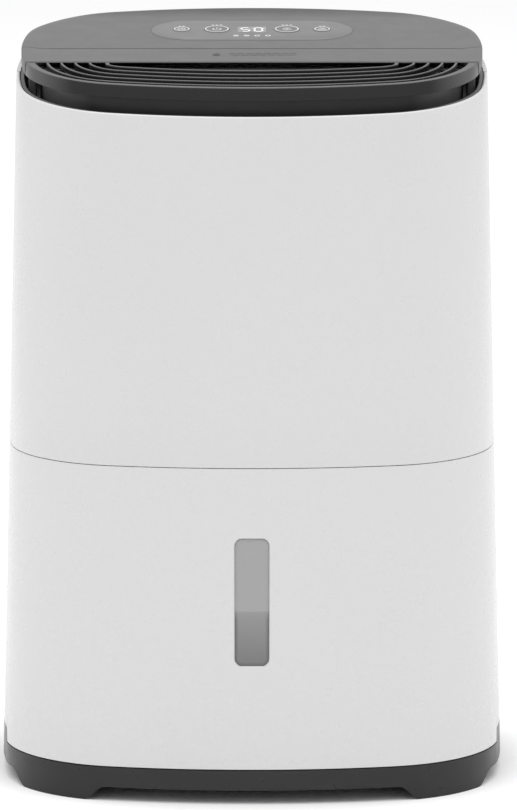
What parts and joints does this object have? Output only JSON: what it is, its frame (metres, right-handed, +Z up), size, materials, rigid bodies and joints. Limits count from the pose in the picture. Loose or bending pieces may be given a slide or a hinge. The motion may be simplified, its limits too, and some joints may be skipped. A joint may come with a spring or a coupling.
{
  "type": "dehumidifier",
  "caption": "Free-standing room dehumidifier with a rounded drafted body, a pull-out front water tank with a level window, a top air outlet and a sloped control deck.",
  "frame": {"origin": "on the floor under the middle of the body", "axes": "+Z up, -Y towards the front with the tank window, +X to the right of somebody facing the front"},
  "size_m": [0.3206, 0.2406, 0.478],
  "materials": {
    "white_shell": "satin white ABS",
    "grey_deck": "fine-textured mid grey ABS",
    "panel_grey": "printed panel",
    "dark_plastic": "fine-textured black plastic",
    "inner_plastic": "moulded grey plastic",
    "rubber": "matte rubber",
    "clear_window": "clear polycarbonate",
    "translucent": "frosted polypropylene",
    "float_foam": "moulded foam",
    "magnet": "ferrite",
    "steel": "zinc plated",
    "black_paint": "black enamel",
    "aluminium_fin": "rolled fin stock",
    "copper": "drawn copper",
    "circuit": "solder mask",
    "capacitor": "drawn can",
    "mesh": "woven nylon mesh",
    "display": "smoked lens",
    "light_lens": "diffusing lens"
  },
  "bodies": {
    "cabinet": {"accumulator": "copper", "base_pan": "dark_plastic", "board_box": "dark_plastic", "chassis_shelf": "inner_plastic", "coil_thermistor": "copper", "compressor": "black_paint", "compressor_foot": "black_paint", "compressor_grommets": "rubber", "compressor_studs": "steel", "condenser_bends": "copper", "condenser_fins": "aluminium_fin", "control_board": "circuit", "control_overlay": "panel_grey", "cord_inlet": "rubber", "deck_lid": "grey_deck", "discharge_pipe": "copper", "display_module": "dark_plastic", "display_window": "display", "drain_spigot": "dark_plastic", "drip_tray": "inner_plastic", "evaporator_bends": "copper", "evaporator_fins": "aluminium_fin", "fan_motor": "black_paint", "fan_scroll": "inner_plastic", "filter_drier": "copper", "foot_pads": "rubber", "housing_screws": "steel", "humidity_sensor": "light_lens", "indicator_lenses": "light_lens", "main_board": "circuit", "motor_screws": "steel", "outlet_duct": "inner_plastic", "outlet_grille": "dark_plastic", "rear_housing": "white_shell", "reed_switch": "dark_plastic", "run_capacitor": "capacitor", "suction_pipe": "copper", "tank_bay_wall": "inner_plastic", "terminal_cover": "dark_plastic", "top_collar": "dark_plastic", "underside_plate": "dark_plastic", "upper_shell": "white_shell"},
    "tank": {"tank_front": "white_shell", "tank_window": "clear_window", "tank_bucket": "translucent", "tank_lid": "inner_plastic", "float_cage": "translucent"},
    "float": {"tank_float": "float_foam", "float_magnet": "magnet"},
    "fan": {"fan_impeller": "dark_plastic", "fan_shaft": "steel"},
    "intake_panel": {"intake_grille": "white_shell", "filter_frame": "dark_plastic", "filter_mesh": "mesh"},
    "handle": {"carry_handle": "grey_deck"},
    "plug": {"drain_plug": "rubber"},
    "timer_button": {"button_timer": "panel_grey"},
    "power_button": {"button_power": "panel_grey"},
    "mode_button": {"button_mode": "panel_grey"},
    "fan_speed_button": {"button_fan_speed": "panel_grey"}
  },
  "joints": [
    {"name": "tank_pull_out", "type": "slide", "parent": "cabinet", "child": "tank", "axis": [0, -1, 0], "range_m": [0, 0.13]},
    {"name": "float_rise", "type": "slide", "parent": "tank", "child": "float", "axis": [0, 0, 1], "range_m": [0, 0.012]},
    {"name": "fan_spin", "type": "hinge", "parent": "cabinet", "child": "fan", "pos_m": [0, -0.064, 0.322], "axis": [0, 1, 0], "continuous": true},
    {"name": "intake_panel_remove", "type": "slide", "parent": "cabinet", "child": "intake_panel", "axis": [0, 1, 0], "range_m": [0, 0.035]},
    {"name": "handle_lift", "type": "slide", "parent": "cabinet", "child": "handle", "axis": [0, 0, 1], "range_m": [0, 0.034]},
    {"name": "drain_plug_remove", "type": "slide", "parent": "cabinet", "child": "plug", "axis": [0, 1, 0], "range_m": [0, 0.02]},
    {"name": "timer_button_press", "type": "slide", "parent": "cabinet", "child": "timer_button", "axis": [0, 0.1207, -0.9927], "range_m": [0, 0.0008], "stiffness_N_per_m": 400, "springref_m": -0.0006},
    {"name": "power_button_press", "type": "slide", "parent": "cabinet", "child": "power_button", "axis": [0, 0.1207, -0.9927], "range_m": [0, 0.0008], "stiffness_N_per_m": 400, "springref_m": -0.0006},
    {"name": "mode_button_press", "type": "slide", "parent": "cabinet", "child": "mode_button", "axis": [0, 0.1207, -0.9927], "range_m": [0, 0.0008], "stiffness_N_per_m": 400, "springref_m": -0.0006},
    {"name": "fan_speed_button_press", "type": "slide", "parent": "cabinet", "child": "fan_speed_button", "axis": [0, 0.1207, -0.9927], "range_m": [0, 0.0008], "stiffness_N_per_m": 400, "springref_m": -0.0006}
  ]
}
